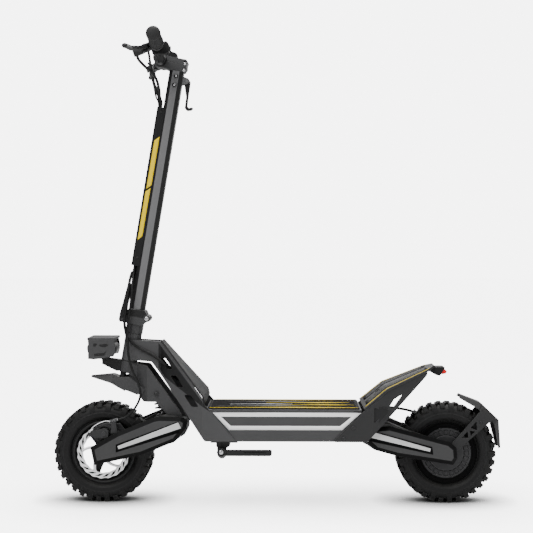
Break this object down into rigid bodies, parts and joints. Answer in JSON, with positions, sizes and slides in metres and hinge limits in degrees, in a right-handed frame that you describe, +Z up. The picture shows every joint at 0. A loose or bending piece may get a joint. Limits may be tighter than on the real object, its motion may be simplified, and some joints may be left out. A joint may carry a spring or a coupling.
{
  "type": "electric kick scooter",
  "caption": "Folding electric kick scooter with a knobbed hub-motor wheel, leading-arm fork, wedge-sided battery deck, raised kick tail and a stem that folds back onto it.",
  "frame": {"origin": "centre of the overall box on the ground", "axes": "+Z up, front wheel toward -X, rider's left side toward -Y"},
  "size_m": [1.189, 0.6244, 1.225],
  "materials": {
    "frame_paint": "satin charcoal powder coat",
    "stem_paint": "satin grey powder coat",
    "arm_paint": "satin charcoal powder coat with bright strips",
    "black_metal": "matte black coat",
    "bright_steel": "bright",
    "disc_steel": "ground bright",
    "cast_grey": "cast and coated",
    "black_plastic": "fine grain",
    "switch_cap": "matte",
    "tyre_rubber": "knobbed rubber",
    "grip_rubber": "ribbed rubber",
    "cord_rubber": "smooth sheath",
    "mat_print": "grip surface printed yellow, white and grey",
    "spring_coat": "gloss black coat",
    "lens_clear": "clear",
    "lens_red": "translucent red",
    "pack_wrap": "heat-shrunk wrap"
  },
  "bodies": {
    "frame": {"neck_frame": "frame_paint", "headset_cartridge": "bright_steel", "neck_cover": "black_metal", "deck_shell": "frame_paint", "deck_lid": "frame_paint", "deck_mat": "mat_print", "battery_pack": "pack_wrap", "motor_controller": "cast_grey", "tail_plate_left": "frame_paint", "tail_plate_right": "frame_paint", "tail_footplate": "frame_paint", "tail_lamp_housing": "black_plastic", "tail_lamp_lens": "lens_red", "kickstand_bracket": "black_metal", "rear_pivot_shaft": "bright_steel"},
    "kickstand": {"kickstand_leg": "black_metal"},
    "steering": {"fork": "frame_paint", "front_fender": "black_plastic", "headlamp_bracket": "black_metal", "fold_base": "frame_paint", "front_pivot_shaft": "bright_steel"},
    "headlamp": {"headlamp_housing": "black_plastic", "headlamp_lens": "lens_clear"},
    "latch": {"latch_lever": "cast_grey"},
    "stem": {"stem_tube": "stem_paint", "stem_cover": "black_plastic", "stem_head": "stem_paint", "clamp_cap": "black_metal", "handlebar": "black_metal", "grip_left": "grip_rubber", "grip_right": "grip_rubber", "brake_perch_left": "black_metal", "brake_perch_right": "black_metal", "display_pod": "black_plastic", "switch_pod": "black_plastic", "brake_cable": "cord_rubber", "harness": "cord_rubber"},
    "hook": {"fold_hook": "black_metal"},
    "left_lever": {"brake_lever_left": "black_metal"},
    "right_lever": {"brake_lever_right": "black_metal"},
    "throttle": {"throttle_paddle": "black_plastic"},
    "button": {"horn_button": "switch_cap"},
    "front_arm": {"front_arm_left": "arm_paint", "front_arm_right": "arm_paint", "front_axle": "bright_steel", "brake_caliper": "cast_grey"},
    "front_wheel": {"front_tyre": "tyre_rubber", "front_rim": "black_metal", "brake_rotor": "disc_steel"},
    "caliper_arm": {"caliper_lever": "bright_steel"},
    "shock_top": {"front_shock_upper": "black_metal", "front_spring": "spring_coat"},
    "shock_low": {"front_shock_lower": "bright_steel"},
    "rear_arm": {"rear_arm_left": "arm_paint", "rear_arm_right": "arm_paint", "rear_axle": "bright_steel", "rear_fender": "black_plastic", "motor_cable": "cord_rubber"},
    "rear_wheel": {"rear_tyre": "tyre_rubber", "rear_hub_motor": "black_metal"}
  },
  "joints": [
    {"name": "steer_turn", "type": "hinge", "parent": "frame", "child": "steering", "pos_m": [-0.3911, 0, 0.41054], "axis": [0.165, 0, 0.9863], "range_deg": [-35, 35], "deforming": ["harness"]},
    {"name": "headlamp_tilt", "type": "hinge", "parent": "steering", "child": "headlamp", "pos_m": [-0.4605, 0, 0.372], "axis": [0, 1, 0], "range_deg": [-8, 8]},
    {"name": "stem_fold", "type": "hinge", "parent": "steering", "child": "stem", "pos_m": [-0.34781, 0, 0.48745], "axis": [0, 1, 0], "range_deg": [0, 84], "deforming": ["brake_cable"]},
    {"name": "latch_swing", "type": "hinge", "parent": "steering", "child": "latch", "pos_m": [-0.41505, 0, 0.48552], "axis": [0, -1, 0], "range_deg": [0, 100]},
    {"name": "hook_swing", "type": "hinge", "parent": "stem", "child": "hook", "pos_m": [-0.24162, 0, 1.11959], "axis": [0, -1, 0], "range_deg": [0, 95]},
    {"name": "left_lever_pull", "type": "hinge", "parent": "stem", "child": "left_lever", "pos_m": [-0.33459, -0.163, 1.18381], "axis": [-0.3584, 0, 0.9336], "range_deg": [0, 20], "stiffness_Nm_per_rad": 1.5, "springref_deg": -17.19},
    {"name": "right_lever_pull", "type": "hinge", "parent": "stem", "child": "right_lever", "pos_m": [-0.33459, 0.163, 1.18381], "axis": [0.3584, 0, -0.9336], "range_deg": [0, 20], "stiffness_Nm_per_rad": 1.5, "springref_deg": -17.19},
    {"name": "throttle_push", "type": "hinge", "parent": "stem", "child": "throttle", "pos_m": [-0.30685, 0.1335, 1.19201], "axis": [0.0497, 0.9754, 0.2146], "range_deg": [0, 30], "stiffness_Nm_per_rad": 0.3, "springref_deg": -17.19},
    {"name": "button_press", "type": "slide", "parent": "stem", "child": "button", "axis": [-1, 0, 0], "range_m": [0, 0.002], "stiffness_N_per_m": 250, "springref_m": -0.002},
    {"name": "front_arm_rise", "type": "hinge", "parent": "steering", "child": "front_arm", "pos_m": [-0.26229, 0, 0.1986], "axis": [0, 1, 0], "range_deg": [0, 8], "stiffness_Nm_per_rad": 220, "springref_deg": -14.32, "deforming": ["front_spring"]},
    {"name": "front_wheel_spin", "type": "hinge", "parent": "front_arm", "child": "front_wheel", "pos_m": [-0.4625, 0, 0.132], "axis": [0, 1, 0], "continuous": true},
    {"name": "caliper_pull", "type": "hinge", "parent": "front_arm", "child": "caliper_arm", "pos_m": [-0.4565, -0.037, 0.187], "axis": [0, 1, 0], "range_deg": [0, 20]},
    {"name": "shock_top_swing", "type": "hinge", "parent": "steering", "child": "shock_top", "pos_m": [-0.3195, 0, 0.29], "axis": [0, 1, 0], "range_deg": [-10, 10]},
    {"name": "shock_low_swing", "type": "hinge", "parent": "front_arm", "child": "shock_low", "pos_m": [-0.3045, 0, 0.212], "axis": [0, 1, 0], "range_deg": [-20, 20]},
    {"name": "rear_arm_rise", "type": "hinge", "parent": "frame", "child": "rear_arm", "pos_m": [0.24191, 0, 0.17946], "axis": [0, -1, 0], "range_deg": [0, 8], "stiffness_Nm_per_rad": 220, "springref_deg": -14.32, "deforming": ["motor_cable"]},
    {"name": "rear_wheel_spin", "type": "hinge", "parent": "rear_arm", "child": "rear_wheel", "pos_m": [0.4475, 0, 0.132], "axis": [0, 1, 0], "continuous": true},
    {"name": "kickstand_swing", "type": "hinge", "parent": "frame", "child": "kickstand", "pos_m": [-0.1455, -0.07, 0.135], "axis": [0, 0.9539, -0.3], "range_deg": [0, 95]}
  ],
  "couplings": [
    {"joint": "caliper_pull", "follows": "left_lever_pull", "ratio": 1},
    {"joint": "shock_top_swing", "follows": "front_arm_rise", "ratio": -0.31},
    {"joint": "shock_low_swing", "follows": "front_arm_rise", "ratio": -1.31}
  ]
}
